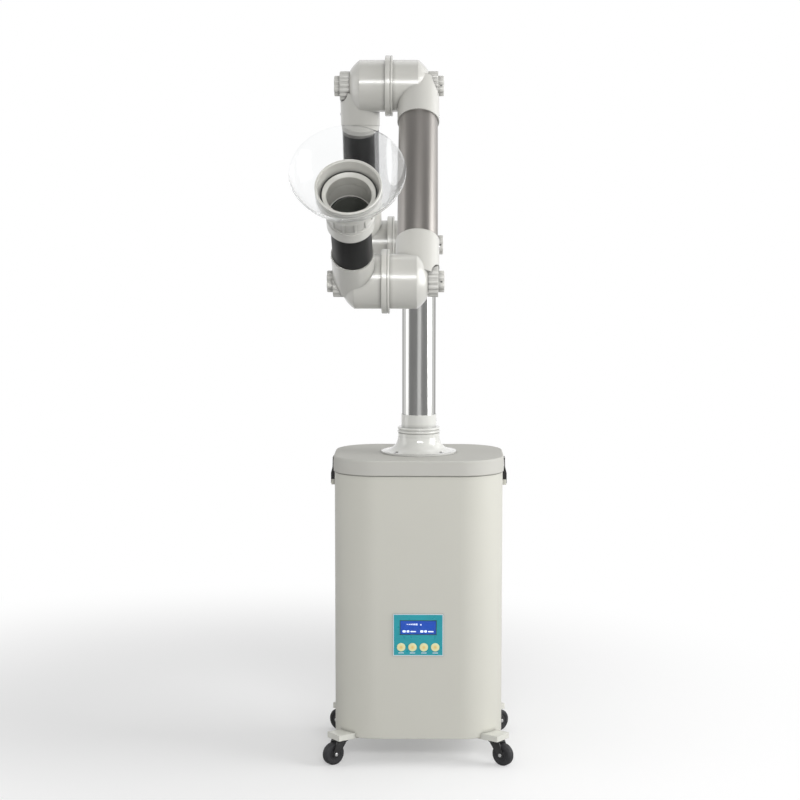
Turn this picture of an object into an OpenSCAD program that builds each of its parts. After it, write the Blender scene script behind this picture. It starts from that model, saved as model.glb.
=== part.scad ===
// Extraoral dental suction unit: a cabinet on four casters with a jointed suction arm.
// Frame: millimetres, origin on the floor under the column, +Z up, -Y towards the user.

/* [Cabinet] */
// Width of the cabinet shell
cab_w = 377; // [340:1:420]
// Depth of the cabinet shell
cab_d = 290; // [270:1:330]
// Corner radius of the cabinet shell
cab_r = 95; // [80:1:110]
// Height of the shell's lower edge above the floor
cab_z = 60; // [60:1:70]
// Height of the shell
cab_h = 590; // [570:1:640]
// Wall of the shell
shell_t = 2; // [1.5:0.1:3]
// Sheet of the shelf inside
shelf_t = 2; // [1.5:0.1:3]
// Height of the shelf above the shell's lower edge
shelf_up = 180; // [176:1:184]
// Opening in the shelf
shelf_hole_r = 50; // [40:1:60]

/* [Chassis] */
// Width of a chassis arm
arm_w = 46; // [40:1:54]
// Thickness of a chassis arm
arm_t = 13; // [12:0.5:14]
// Height of the arms' underside
arm_z = 57; // [57:0.5:58]
// Distance of a kingpin from the middle, sideways
king_x = 175; // [170:1:182]
// Distance of a kingpin from the middle, front to back
king_y = 130; // [124:1:136]
// How far an arm runs on past its kingpin
arm_past = 18; // [14:1:24]
// Thickness of the floor plate
floor_t = 3; // [2:0.5:4]

/* [Casters] */
// Radius of a wheel
wheel_r = 25; // [23:0.5:26]
// Width of a wheel
wheel_w = 18; // [14:1:20]
// Radius of the axle
axle_r = 3; // [2.5:0.1:4]
// Offset of the axle from the kingpin
trail = 18; // [15:1:20]
// Radius of the kingpin
king_r = 5; // [4:0.5:6]
// Depth of the kingpin in its arm
king_len = 9; // [7:0.5:10]
// Radius of the fork's crown
crown_r = 19; // [17:0.5:21]
// Thickness of the fork's crown
crown_t = 4; // [3.5:0.1:4.5]
// Thickness of a fork leg
leg_t = 2.5; // [2:0.1:3]

/* [Lid] */
// Overhang of the lid past the shell
lid_over = 2.5; // [2:0.5:6]
// Height of the lid
lid_h = 34; // [30:1:44]
// Wall of the lid
lid_t = 2.5; // [2:0.1:3.5]
// Rounding of the lid's top edge
lid_round = 4; // [2:0.5:6]
// Width of the lid's inner rim
rim_w = 14; // [12:1:20]
// Height of the lid gasket
gasket_h = 2; // [1.5:0.1:3]

/* [Latches] */
// Width of a latch lever
latch_w = 30; // [24:1:36]
// Height of the latch hinge below the lid's seam
latch_drop = 32; // [28:1:40]
// Radius of the latch pin
latch_pin_r = 2; // [1.5:0.1:2.5]
// Height of the keeper ledge above the lid's seam
keeper_up = 17; // [14:1:20]
// Vertical room between claw and keeper
claw_gap = 1.8; // [1.6:0.1:2.2]

/* [Column] */
// Radius of the column flange's base
flange_r = 85; // [78:1:92]
// Thickness of the flange's base edge
flange_t = 4; // [3:0.5:6]
// Height of the flange
flange_h = 45; // [40:1:60]
// Radius of the flange's neck
neck_r = 47; // [46:0.5:50]
// Bore radius of the flange
flange_bore_r = 43; // [42.5:0.5:43.5]
// Radius of the flange screws' circle
flange_screw_r = 72; // [70:1:74]
// Radius of the collar's bead
bead_r = 48.5; // [47:0.5:51]
// Height of the collar's bead
bead_h = 13.5; // [12:0.5:16]
// Height of the collar's sleeve above its bead
sleeve_up = 29; // [24:1:36]
// Wall of the collar's sleeve
collar_t = 2.3; // [2:0.1:3]
// Radius of the column tube
column_r = 37.5; // [36:0.5:38]
// Wall of the tubes
tube_t = 2; // [1.5:0.1:3]

/* [Arm] */
// Height of the shoulder joint
shoulder_z = 1155; // [1100:1:1200]
// Distance between the shoulder and upper joints
arm_a_len = 393; // [360:1:440]
// Distance between the upper and wrist joints
arm_b_len = 503; // [470:1:520]
// Forward lean of the first arm
lean_a = 30; // [25:1:35]
// Slope of the second arm from the vertical
lean_b = 37; // [34:1:40]
// Forward lean of the third arm
lean_c = 54; // [50:1:58]
// Radius of the black tubes
black_r = 39; // [38:0.5:40]
// Radius of the metal tube
metal_r = 41; // [40:0.5:42]
// Depth of a tube in its sleeve
tube_in = 46; // [40:1:50]

/* [Elbows] */
// Distance of a tube's axis from the joint's middle plane
offset_x = 62.5; // [62:0.5:64]
// Radius of an elbow's barrel
barrel_r = 54.5; // [54:0.5:56]
// Length of an elbow's barrel
barrel_len = 62; // [61:0.5:66]
// Length of an elbow's domed end
cap_len = 21.5; // [19:0.5:23]
// Full depth of the dome that the end is cut from
dome_len = 29; // [27:0.5:31]
// Wall of an elbow
elbow_t = 4; // [3:0.1:5]
// Wall of a sleeve
sleeve_t = 2.8; // [2.4:0.1:4]
// Length of a sleeve from the joint's axis
sleeve_len = 98; // [94:1:108]
// Radius of an elbow's flange
rim_r = 60; // [59:0.5:61]
// Thickness of an elbow's flange
rim_t = 4; // [3:0.5:5]
// Outer radius of a clamp ring
ring_r = 64; // [63:0.5:67]
// Width of a clamp ring
ring_w = 16; // [14:0.5:18]
// Radius of the joint's spindle
spindle_r = 5; // [4:0.5:6]
// Radius of a knob's grip
knob_r = 31; // [28:0.5:32]
// Length of a knob's grip
knob_len = 20.5; // [19:0.5:24]
// Radius of a knob's star
star_r = 21.5; // [20:0.5:24]
// Length of a knob's star
star_len = 12; // [10:0.5:14]
// Number of ribs on a knob
knob_ribs = 16; // [12:1:24]
// Radius of the pocket round a knob
pocket_r = 33; // [32.5:0.5:34]

/* [Hood] */
// Where the union nut begins, from the wrist joint
nut_start = 197; // [190:1:210]
// Length of the union nut
nut_len = 89; // [82:1:96]
// Radius of the nut's flare
flare_r = 60; // [58:0.5:62]
// Number of grip ribs on the nut
nut_ribs = 12; // [10:1:16]
// Radius of the nozzle's cup
cup_r = 62.5; // [61:0.5:64]
// Wall of the nozzle's cup
cup_t = 4.5; // [4:0.5:5]
// Length of the nozzle's cup
cup_len = 29; // [24:1:32]
// Bore radius of the nozzle
nozzle_bore_r = 42; // [41:0.5:43]
// Rim radius of the nozzle's inner pipe
nozzle_rim_r = 50.5; // [49:0.5:51]
// Height of that rim above the cup's foot
pipe_rim_t = 5; // [4:0.5:6]
// Length of the nozzle's bore
nozzle_len = 28; // [24:1:30]
// Radius of the clear hood
hood_r = 107; // [100:1:112]
// Depth of the clear hood
hood_deep = 78; // [70:1:84]
// Wall of the clear hood
hood_t = 2.5; // [2:0.1:3.5]
// Where the hood's neck sits on the cup, from the cup's foot
hood_seat = 14; // [10:0.5:16]

/* [Control panel] */
// Width of the panel
panel_w = 111; // [104:1:118]
// Height of the panel
panel_h = 94; // [90:1:100]
// Height of the panel's middle
panel_z = 296.5; // [280:0.5:320]
// Thickness of the panel's face
panel_t = 1.5; // [1:0.1:2]
// Depth of the panel's body behind the face
panel_deep = 8; // [7:0.5:10]
// Width of the screen
screen_w = 78.4; // [70:0.1:84]
// Height of the screen
screen_h = 29.7; // [26:0.1:33]
// Height of the screen's middle above the panel's middle
screen_up = 16.7; // [15:0.1:18]
// Radius of a key
key_r = 9.3; // [8:0.1:10]
// Spacing of the keys
key_pitch = 25.2; // [24:0.1:26]
// Height of the keys below the panel's middle
key_down = 27.7; // [26:0.1:29]
// How far a key stands proud
key_proud = 1.2; // [1:0.1:1.5]
// Travel of a key
key_travel = 0.8; // [0.6:0.1:1]

/* [Air path] */
// Radius of the impeller
impeller_r = 60; // [56:1:62]
// Height of the impeller
impeller_h = 58; // [50:1:62]
// Number of impeller blades
blades = 20; // [16:1:26]
// Radius of the motor
motor_r = 42; // [38:1:46]
// Height of the motor
motor_h = 68; // [60:1:72]
// Height of the blower housing
volute_h = 78; // [74:1:82]
// Height of the blower's base plate above the shell's lower edge
blower_up = 86; // [84:1:92]
// Width of the filter box
box_w = 256; // [240:1:262]
// Depth of the filter box
box_d = 206; // [196:1:212]
// Height of the filter box
box_h = 360; // [350:1:368]
// Wall of the filter box
box_t = 2; // [1.5:0.1:3]
// Height of the lamp chamber
chamber_h = 76; // [72:1:84]
// Height of the carbon filter
carbon_h = 60; // [50:1:70]
// Height of the fine filter
hepa_h = 140; // [120:1:146]
// Height of the prefilter
prefilter_h = 16; // [10:1:20]
// Radius of a lamp
lamp_r = 8; // [7:0.5:9]
// Radius of the intake duct
duct_r = 43; // [41:0.5:44]

/* [Fits] */
// Radial room of a turning pin in its bore
fit = 0.05; // [0.02:0.01:0.1]
// Room between parts that move past each other
gap = 0.3; // [0.3:0.05:0.5]
// Radial room of a turning spigot
spigot_fit = 0.1; // [0.05:0.01:0.1]
// Room between parts that stay together
seat = 0.1; // [0.05:0.05:0.2]

/* [Hidden] */
$fn = 64;
eps = 0.01;
over = 1;

body_c = [0.77, 0.76, 0.73];
plastic_c = [0.75, 0.74, 0.72];
black_c = [0.12, 0.12, 0.12];
steel_c = [0.7, 0.7, 0.7];

cab_top = cab_z + cab_h;
seam_z = cab_top + gasket_h;
lid_w = cab_w + 2 * lid_over;
lid_d = cab_d + 2 * lid_over;
lid_r = cab_r + lid_over;
lid_top = seam_z + lid_h;
in_w = cab_w - 2 * shell_t;
in_d = cab_d - 2 * shell_t;
in_r = cab_r - shell_t;

king_dist = norm([king_x, king_y]);
arm_end = king_dist + arm_past;
corner_sides = [[-1, -1], [1, -1], [1, 1], [-1, 1]];

neck_z = lid_top + flange_h;
bead_top = neck_z + gap + bead_h;
spigot_r = flange_bore_r - spigot_fit;
spigot_len = 31;
bell_r = flange_r - 5 - neck_r;
bell_step = 0.4;

mid_x = -offset_x;
left_x = -2 * offset_x;
shoulder_p = [mid_x, 0, shoulder_z];
upper_p = shoulder_p + arm_a_len * [0, -sin(lean_a), cos(lean_a)];
wrist_p = upper_p + arm_b_len * [0, -sin(lean_b), -cos(lean_b)];
cap_sphere_r = (dome_len * dome_len + barrel_r * barrel_r) / (2 * dome_len);
cap_sphere_x = barrel_len + dome_len - cap_sphere_r;
hub_x = barrel_len + cap_len;
hub_r = 12;
hub_len = 16;
pocket_wall = 3;
rib_step = 0.8;
coupler_t = 1.4;
face_x = gap / 2;
lip_len = 8;
lip_t = 2;
cut_below = 82;

panel_y = -cab_d / 2;
shelf_z = cab_z + shelf_up;
box_z = shelf_z + shelf_t;
box_top = box_z + box_h;
blower_z = cab_z + blower_up;
plate_t = 3;
volute_t = 2;
volute_big = 85;
volute_small = 73;
outlet_in = 25;
leg_dist = 100;
shaft_r = 5;
stack_z = box_z + chamber_h;

/* Outlines and small helpers */
module round_rect(w, d, r) {
    square([w - 2 * r, d], center = true);
    square([w, d - 2 * r], center = true);
    for (sx = [-1, 1], sy = [-1, 1])
        translate([sx * (w / 2 - r), sy * (d / 2 - r)]) circle(r = r);
}

module rect_ring(w, d, r, t) {
    difference() {
        round_rect(w, d, r);
        round_rect(w - 2 * t, d - 2 * t, r - t);
    }
}

module tube(r, t, h) {
    difference() {
        cylinder(r = r, h = h);
        translate([0, 0, -over]) cylinder(r = r - t, h = h + 2 * over);
    }
}

module along_x() {
    rotate([0, 90, 0]) children();
}

module box_at(lo, hi) {
    translate(lo) cube(hi - lo);
}

/* Chassis and casters */
module chassis_frame() color(body_c) {
    difference() {
        union() {
            for (s = corner_sides)
                rotate([0, 0, atan2(s[1] * king_y, s[0] * king_x)])
                    translate([0, -arm_w / 2, arm_z]) cube([arm_end, arm_w, arm_t]);
            translate([0, 0, cab_z])
                linear_extrude(floor_t) round_rect(in_w - 2 * seat, in_d - 2 * seat, in_r - seat);
        }
        for (s = corner_sides)
            translate([s[0] * king_x, s[1] * king_y, arm_z - over])
                cylinder(r = king_r + fit, h = king_len + over + 0.5);
    }
}

module arm_notches() {
    for (s = corner_sides)
        rotate([0, 0, atan2(s[1] * king_y, s[0] * king_x)])
            translate([arm_w, -arm_w / 2 - seat, cab_z - over])
                cube([arm_end, arm_w + 2 * seat, arm_z + arm_t - cab_z + over + seat]);
}

module caster_place(i) {
    s = corner_sides[i];
    translate([s[0] * king_x, s[1] * king_y, 0])
        rotate([0, 0, atan2(s[1] * king_y, s[0] * king_x)]) children();
}

crown_top = arm_z - gap;
leg_in = wheel_w / 2 + 0.7;
fork_out = leg_in + leg_t;

module fork_leg() {
    translate([0, leg_t, 0]) rotate([90, 0, 0]) linear_extrude(leg_t) {
        translate([trail, wheel_r]) circle(r = 8);
        polygon([[-12, crown_top - crown_t / 2], [14, crown_top - crown_t / 2],
            [trail + 7.5, wheel_r + 2.8], [trail - 6.2, wheel_r - 5]]);
    }
}

module caster_fork(i) color(black_c) caster_place(i) {
    difference() {
        union() {
            translate([0, 0, crown_top - crown_t]) cylinder(r = crown_r, h = crown_t);
            translate([0, leg_in, 0]) fork_leg();
            translate([0, -leg_in - leg_t, 0]) fork_leg();
        }
        translate([trail, 0, wheel_r]) rotate([90, 0, 0])
            cylinder(r = axle_r, h = 2 * fork_out + 2 * over, center = true);
        translate([trail, 0, wheel_r]) rotate([90, 0, 0])
            cylinder(r = wheel_r + 1.2, h = 2 * leg_in, center = true);
    }
    translate([0, 0, crown_top - over]) cylinder(r = king_r, h = over + king_len);
    translate([trail, 0, wheel_r]) rotate([90, 0, 0]) {
        cylinder(r = axle_r, h = 2 * fork_out + 2, center = true);
        for (s = [-1, 1])
            translate([0, 0, s * (fork_out + 1)]) cylinder(r = axle_r + 1, h = 2, center = true);
    }
}

module caster_wheel(i) color([0.25, 0.25, 0.25]) caster_place(i)
    translate([trail, 0, wheel_r]) rotate([90, 0, 0]) rotate_extrude()
        difference() {
            union() {
                translate([0, -wheel_w / 2]) square([wheel_r - 4, wheel_w]);
                translate([0, -wheel_w / 2 + 4]) square([wheel_r, wheel_w - 8]);
                for (s = [-1, 1])
                    translate([wheel_r - 4, s * (wheel_w / 2 - 4)]) circle(r = 4);
            }
            translate([-over, -wheel_w]) square([axle_r + fit + over, 2 * wheel_w]);
            for (s = [-1, 1])
                translate([8, s * wheel_w / 2 - 1.5]) square([wheel_r - 14, 3]);
        }

/* Cabinet */
module cabinet_shell() color(body_c) {
    difference() {
        translate([0, 0, cab_z]) linear_extrude(cab_h) rect_ring(cab_w, cab_d, cab_r, shell_t);
        arm_notches();
        translate([-panel_w / 2 + 3, panel_y - over, panel_z - panel_h / 2 + 3])
            cube([panel_w - 6, shell_t + 2 * over, panel_h - 6]);
        grille_opening();
        box_at([inlet_x - 27, cab_d / 2 - shell_t - over, inlet_z - 13],
            [inlet_x + 27, cab_d / 2 + over, inlet_z + 13]);
    }
    for (s = [-1, 1]) latch_bracket(s);
}

latch_z = seam_z - latch_drop;
latch_x = cab_w / 2 + 6;

module latch_bracket(s) {
    for (e = [-1, 1])
        box_at([s > 0 ? cab_w / 2 - eps : -latch_x - 3.5, e * (latch_w / 2 + 2.3) - 2, latch_z - 6],
            [s > 0 ? latch_x + 3.5 : -cab_w / 2 + eps, e * (latch_w / 2 + 2.3) + 2, latch_z + 6]);
    translate([s * latch_x, 0, latch_z]) rotate([90, 0, 0])
        cylinder(r = latch_pin_r, h = latch_w + 6, center = true);
}

keeper_z = seam_z + keeper_up;
claw_z = keeper_z + claw_gap;
claw_in = lid_w / 2 + 1.2;
claw_out = claw_in + 3.4;

// The lever's side outline for the right latch: hinge eye, stout grip and thin claw
module latch(s) color(black_c) {
    difference() {
        mirror([s < 0 ? 1 : 0, 0, 0]) rotate([90, 0, 0])
            translate([0, 0, -latch_w / 2]) linear_extrude(latch_w) {
                translate([latch_x, latch_z]) circle(r = 4.6);
                polygon([[latch_x - 4.6, latch_z], [latch_x + 2, latch_z - 4.1],
                    [latch_x + 4.8, latch_z - 2.8], [latch_x + 4.6, latch_z + 2],
                    [latch_x + 4.6, latch_z + 20], [claw_out, seam_z + 2],
                    [claw_out - 0.6, claw_z + 5], [claw_in - 0.4, claw_z + 3],
                    [claw_in - 0.4, claw_z], [claw_out - 2, claw_z],
                    [claw_out - 1.6, seam_z + 1.5], [latch_x - 4.6, latch_z + 22]]);
            }
        translate([s * latch_x, 0, latch_z]) rotate([90, 0, 0])
            cylinder(r = latch_pin_r + fit, h = latch_w + 2 * over, center = true);
    }
}

module latch_keepers() color(steel_c)
    for (s = [-1, 1]) {
        box_at([s > 0 ? lid_w / 2 : -lid_w / 2 - 0.8, -9, keeper_z - 8],
            [s > 0 ? lid_w / 2 + 0.8 : -lid_w / 2, 9, keeper_z]);
        box_at([s > 0 ? lid_w / 2 : -lid_w / 2 - 2, -9, keeper_z - 2],
            [s > 0 ? lid_w / 2 + 2 : -lid_w / 2, 9, keeper_z]);
    }

shelf_rim = 12;

module equipment_shelf() color(steel_c) difference() {
    union() {
        translate([0, 0, shelf_z]) linear_extrude(shelf_t)
            round_rect(in_w - 2 * seat, in_d - 2 * seat, in_r - seat);
        translate([0, 0, shelf_z - shelf_rim]) linear_extrude(shelf_rim + eps)
            rect_ring(in_w - 2 * seat, in_d - 2 * seat, in_r - seat, shelf_t);
        translate([0, 0, blower_z + volute_h + gap])
            cylinder(r = shelf_hole_r + shelf_t, h = shelf_z - blower_z - volute_h);
    }
    translate([0, 0, blower_z]) cylinder(r = shelf_hole_r, h = shelf_z);
}

/* Exhaust, mains inlet and switch on the back */
grille_w = 96;
grille_h = 92;
grille_x = (outlet_in + volute_big) / 2;
grille_z = blower_z + volute_h / 2;
inlet_x = -70;
inlet_z = 150;
rock_ang = 9;

module grille_opening() {
    box_at([outlet_in, cab_d / 2 - shell_t - over, blower_z + 5],
        [volute_big, cab_d / 2 + over, blower_z + volute_h - 5]);
}

module exhaust_grille() color([0.2, 0.2, 0.2]) difference() {
    box_at([grille_x - grille_w / 2 + 5, cab_d / 2, grille_z - grille_h / 2],
        [grille_x + grille_w / 2 - 12, cab_d / 2 + 2.5, grille_z + grille_h / 2]);
    for (i = [-4:4])
        translate([grille_x - 2 - 30, cab_d / 2 - over, grille_z + i * 7.5 - 2])
            cube([60, 2.5 + 2 * over, 4]);
}

module power_inlet() color([0.15, 0.15, 0.15]) {
    difference() {
        union() {
            box_at([inlet_x - 32, cab_d / 2, inlet_z - 17], [inlet_x + 32, cab_d / 2 + 2.5, inlet_z + 17]);
            box_at([inlet_x - 26.5, cab_d / 2 - 24, inlet_z - 12.5],
                [inlet_x + 26.5, cab_d / 2 + eps, inlet_z + 12.5]);
        }
        box_at([inlet_x - 24, cab_d / 2 - 16, inlet_z - 8.5], [inlet_x + 2, cab_d / 2 + 4, inlet_z + 8.5]);
        box_at([inlet_x + 7, cab_d / 2 - 12, inlet_z - 10.5], [inlet_x + 24, cab_d / 2 + 4, inlet_z + 10.5]);
    }
    for (p = [[-17, 0], [-11, 3], [-5, 0]])
        box_at([inlet_x + p[0] - 1, cab_d / 2 - 17, inlet_z + p[1] - 2],
            [inlet_x + p[0] + 1, cab_d / 2 - 3, inlet_z + p[1] + 2]);
    translate([inlet_x + 15.5, cab_d / 2 - 3, inlet_z]) along_x()
        cylinder(r = 1.5, h = 18, center = true);
}

module rocker_switch() color([0.1, 0.1, 0.1])
    translate([inlet_x + 15.5, cab_d / 2 - 3, inlet_z]) rotate([rock_ang, 0, 0]) difference() {
        along_x() translate([0, 0, -8]) linear_extrude(16) {
            polygon([[-8.6, 5.8], [8.6, 5.8], [8.6, 3.4], [4, -4.5], [-4, -4.5], [-8.6, 3.4]]);
        }
        along_x() cylinder(r = 1.5 + fit, h = 20, center = true);
    }

/* Control panel */
screen_z = panel_z + screen_up;
key_z = panel_z - key_down;
key_stem_r = key_r + 1.2;
function key_x(i) = (i - 1.5) * key_pitch;
face_y = panel_y - panel_t;
back_y = panel_y + panel_deep;

module control_panel() color([0.18, 0.63, 0.65]) difference() {
    union() {
        box_at([-panel_w / 2, face_y, panel_z - panel_h / 2], [panel_w / 2, panel_y, panel_z + panel_h / 2]);
        box_at([-panel_w / 2 + 3.2, panel_y - eps, panel_z - panel_h / 2 + 3.2],
            [panel_w / 2 - 3.2, back_y, panel_z + panel_h / 2 - 3.2]);
    }
    box_at([-screen_w / 2 - seat, face_y - over, screen_z - screen_h / 2 - seat],
        [screen_w / 2 + seat, back_y + over, screen_z + screen_h / 2 + seat]);
    for (i = [0:3]) translate([key_x(i), face_y - over, key_z]) rotate([-90, 0, 0]) {
        cylinder(r = key_r + gap, h = panel_deep + panel_t + 2 * over);
        translate([0, 0, over + panel_t + 2]) cylinder(r = key_stem_r + gap, h = panel_deep + over);
    }
}

module display_screen() color([0.08, 0.31, 0.78])
    box_at([-screen_w / 2, face_y + 0.3, screen_z - screen_h / 2],
        [screen_w / 2, back_y, screen_z + screen_h / 2]);

module button(i) color([0.93, 0.9, 0.6])
    translate([key_x(i), face_y - key_proud, key_z]) rotate([-90, 0, 0]) {
        cylinder(r = key_r, h = key_proud + panel_t + 5);
        translate([0, 0, key_proud + panel_t + 2 + gap]) cylinder(r = key_stem_r, h = 3);
    }

board_y = back_y + 4;

module control_board() color([0.1, 0.4, 0.2]) {
    box_at([-panel_w / 2 + 6, board_y, panel_z - panel_h / 2 + 5],
        [panel_w / 2 - 6, board_y + 1.6, panel_z + panel_h / 2 - 5]);
    for (sx = [-1, 1], sz = [-1, 1])
        translate([sx * (panel_w / 2 - 9), back_y, panel_z + sz * (panel_h / 2 - 8)])
            rotate([-90, 0, 0]) cylinder(r = 3, h = 4 + eps);
    for (i = [0:3])
        translate([key_x(i), face_y + panel_t + 5 + key_travel + gap, key_z]) rotate([-90, 0, 0])
            cylinder(r = 3, h = board_y - panel_y - 5 - key_travel - gap + eps);
    box_at([-30, board_y + 1.6 - eps, screen_z - 10], [-10, board_y + 12, screen_z + 10]);
    box_at([10, board_y + 1.6 - eps, screen_z - 8], [40, board_y + 10, screen_z + 4]);
}

/* Blower */
function volute_edge(cut) = [for (i = [0:24]) let (a = -i * 11.7,
    r = volute_big - (volute_big - volute_small) * i / 24 - cut) [r * cos(a), r * sin(a)]];

module volute_shape(cut, reach) {
    polygon(concat(volute_edge(cut), [[outlet_in + cut, 66], [outlet_in + cut, reach],
        [volute_big - cut, reach]]));
}

module blower_housing() color(steel_c) difference() {
    union() {
        translate([-88, -88, blower_z - plate_t]) cube([176, 176, plate_t]);
        translate([0, 0, blower_z - eps]) linear_extrude(volute_h + eps)
            volute_shape(0, cab_d / 2 - shell_t - seat);
        for (sx = [-1, 1], sy = [-1, 1])
            rotate([0, 0, atan2(sy * king_y, sx * king_x)]) translate([leg_dist, 0, arm_z + arm_t])
                cylinder(r = 6, h = blower_z - arm_z - arm_t - eps);
    }
    translate([0, 0, blower_z + volute_t]) linear_extrude(volute_h - 2 * volute_t)
        volute_shape(volute_t, cab_d / 2 + over);
    translate([0, 0, blower_z + volute_h / 2]) cylinder(r = shelf_hole_r - 4, h = volute_h);
    translate([0, 0, blower_z - plate_t - over]) cylinder(r = shaft_r + 3, h = volute_h / 2);
}

module motor() color([0.35, 0.35, 0.38]) difference() {
    union() {
        translate([0, 0, blower_z - plate_t - motor_h]) cylinder(r = motor_r - 3, h = motor_h);
        translate([0, 0, blower_z - plate_t - 8]) cylinder(r = motor_r, h = 8);
        translate([0, 0, blower_z - plate_t - motor_h]) cylinder(r = motor_r, h = 12);
        for (i = [0:11]) rotate([0, 0, i * 30])
            translate([motor_r - 6, -1.5, blower_z - plate_t - motor_h + 6]) cube([6, 3, motor_h - 10]);
    }
    translate([0, 0, blower_z - plate_t - motor_h + 6]) cylinder(r = shaft_r + fit, h = motor_h);
}

hub_z = blower_z + volute_t + 3;

module impeller() color([0.25, 0.25, 0.28]) {
    translate([0, 0, blower_z - plate_t - motor_h + 6.5])
        cylinder(r = shaft_r, h = motor_h + plate_t + volute_t + 20);
    translate([0, 0, hub_z]) cylinder(r = impeller_r, h = 2.5);
    translate([0, 0, hub_z]) cylinder(r = 14, h = 16);
    translate([0, 0, hub_z + impeller_h - 2.5]) difference() {
        cylinder(r = impeller_r, h = 2.5);
        translate([0, 0, -over]) cylinder(r = impeller_r - 12, h = 2.5 + 2 * over);
    }
    for (i = [0:blades - 1]) rotate([0, 0, i * 360 / blades])
        translate([impeller_r - 7, 0, hub_z + 1]) rotate([0, 0, 28])
            translate([-5.5, -0.75, 0]) cube([11, 1.5, impeller_h - 2]);
}

/* Filters */
ledge = 8;

module filter_box() color(steel_c) {
    translate([0, 0, box_z]) difference() {
        translate([-box_w / 2, -box_d / 2, 0]) cube([box_w, box_d, box_h]);
        translate([-box_w / 2 + box_t, -box_d / 2 + box_t, -over])
            cube([box_w - 2 * box_t, box_d - 2 * box_t, box_h + 2 * over]);
    }
    difference() {
        translate([-box_w / 2 + eps, -box_d / 2 + eps, stack_z - box_t])
            cube([box_w - 2 * eps, box_d - 2 * eps, box_t]);
        translate([-box_w / 2 + box_t + ledge, -box_d / 2 + box_t + ledge, stack_z - box_t - over])
            cube([box_w - 2 * (box_t + ledge), box_d - 2 * (box_t + ledge), box_t + 2 * over]);
    }
}

module filter_frame(z, h, t) {
    translate([0, 0, z]) difference() {
        translate([-box_w / 2 + box_t + 0.5, -box_d / 2 + box_t + 0.5, 0])
            cube([box_w - 2 * box_t - 1, box_d - 2 * box_t - 1, h]);
        translate([-box_w / 2 + box_t + t, -box_d / 2 + box_t + t, -over])
            cube([box_w - 2 * (box_t + t), box_d - 2 * (box_t + t), h + 2 * over]);
    }
}

bar_t = 3;
bar_pitch_x = 32;
bar_pitch_y = 34;
bar_z = stack_z + 4;
bar_h = carbon_h - 8;

module carbon_filter() color([0.15, 0.15, 0.16]) {
    filter_frame(stack_z, carbon_h, frame_t);
    bar_w = box_w - 2 * (box_t + frame_in);
    bar_d = box_d - 2 * (box_t + frame_in);
    for (i = [-3:3])
        translate([i * bar_pitch_x - bar_t / 2, -bar_d / 2, bar_z]) cube([bar_t, bar_d, bar_h]);
    for (i = [-2:2])
        translate([-bar_w / 2, i * bar_pitch_y - bar_t / 2, bar_z]) cube([bar_w, bar_t, bar_h]);
}

pleats = 18;
pleat_in = box_d / 2 - box_t - 6;
function pleat_side(s) = [for (i = [0:pleats]) [(i - pleats / 2) * (box_w - 2 * (box_t + frame_in)) / pleats,
    s * 2.5 + (i % 2 == 0 ? 1 : -1) * (hepa_h / 2 - 12)]];
function turned(v) = [for (i = [len(v) - 1:-1:0]) v[i]];

module hepa_filter() color([0.93, 0.93, 0.9]) {
    filter_frame(stack_z + carbon_h, hepa_h, 7);
    translate([0, pleat_in, stack_z + carbon_h + hepa_h / 2]) rotate([90, 0, 0])
        linear_extrude(2 * pleat_in) polygon(concat(pleat_side(1), turned(pleat_side(-1))));
}

felt_t = 6;
frame_t = 6;
frame_in = 5;

module prefilter() color([0.6, 0.65, 0.7]) {
    filter_frame(stack_z + carbon_h + hepa_h, prefilter_h, frame_t);
    translate([0, 0, stack_z + carbon_h + hepa_h + prefilter_h / 2])
        cube([box_w - 2 * (box_t + frame_in), box_d - 2 * (box_t + frame_in), felt_t], center = true);
}

lamp_y = 40;
socket_len = 40;
socket_t = 3;

module uv_lamps() color([0.8, 0.85, 0.95])
    for (y = [-lamp_y, lamp_y]) translate([0, y, box_z + chamber_h / 2]) along_x() {
        cylinder(r = lamp_r, h = box_w - 2 * box_t - 1.5 * socket_len, center = true);
        for (s = [-1, 1]) translate([0, 0, s * (box_w - 2 * box_t - socket_len) / 2])
            cylinder(r = lamp_r + socket_t, h = socket_len, center = true);
    }

/* Lid, flange and duct */
// Half of the lid's cross-section, with its top edge rounded
module lid_section(half) {
    square([half - lid_round, lid_h]);
    square([half, lid_h - lid_round]);
    translate([half - lid_round, lid_h - lid_round]) circle(r = lid_round);
}

module lid_blank() {
    for (sx = [-1, 1], sy = [-1, 1])
        translate([sx * (lid_w / 2 - lid_r), sy * (lid_d / 2 - lid_r), 0])
            rotate_extrude() lid_section(lid_r);
    rotate([90, 0, 90]) translate([0, 0, -lid_w / 2 + lid_r]) linear_extrude(lid_w - 2 * lid_r)
        for (m = [0, 1]) mirror([m, 0]) lid_section(lid_d / 2);
    rotate([90, 0, 0]) translate([0, 0, -lid_d / 2 + lid_r]) linear_extrude(lid_d - 2 * lid_r)
        for (m = [0, 1]) mirror([m, 0]) lid_section(lid_w / 2);
}

module lid() color(body_c) difference() {
    translate([0, 0, seam_z]) lid_blank();
    translate([0, 0, seam_z + lid_t]) linear_extrude(lid_h - 2 * lid_t)
        round_rect(lid_w - 2 * lid_t - 1, lid_d - 2 * lid_t - 1, lid_r - lid_t - 0.5);
    translate([0, 0, seam_z - over]) linear_extrude(lid_t + 2 * over)
        round_rect(lid_w - 2 * rim_w, lid_d - 2 * rim_w, lid_r - rim_w);
    translate([0, 0, lid_top - 2 * lid_t]) cylinder(r = duct_r, h = 3 * lid_t);
}

module lid_gasket() color([0.1, 0.1, 0.1]) translate([0, 0, cab_top + seat])
    linear_extrude(gasket_h - seat) rect_ring(cab_w - 1, cab_d - 1, cab_r - 0.5, 7);

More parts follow.
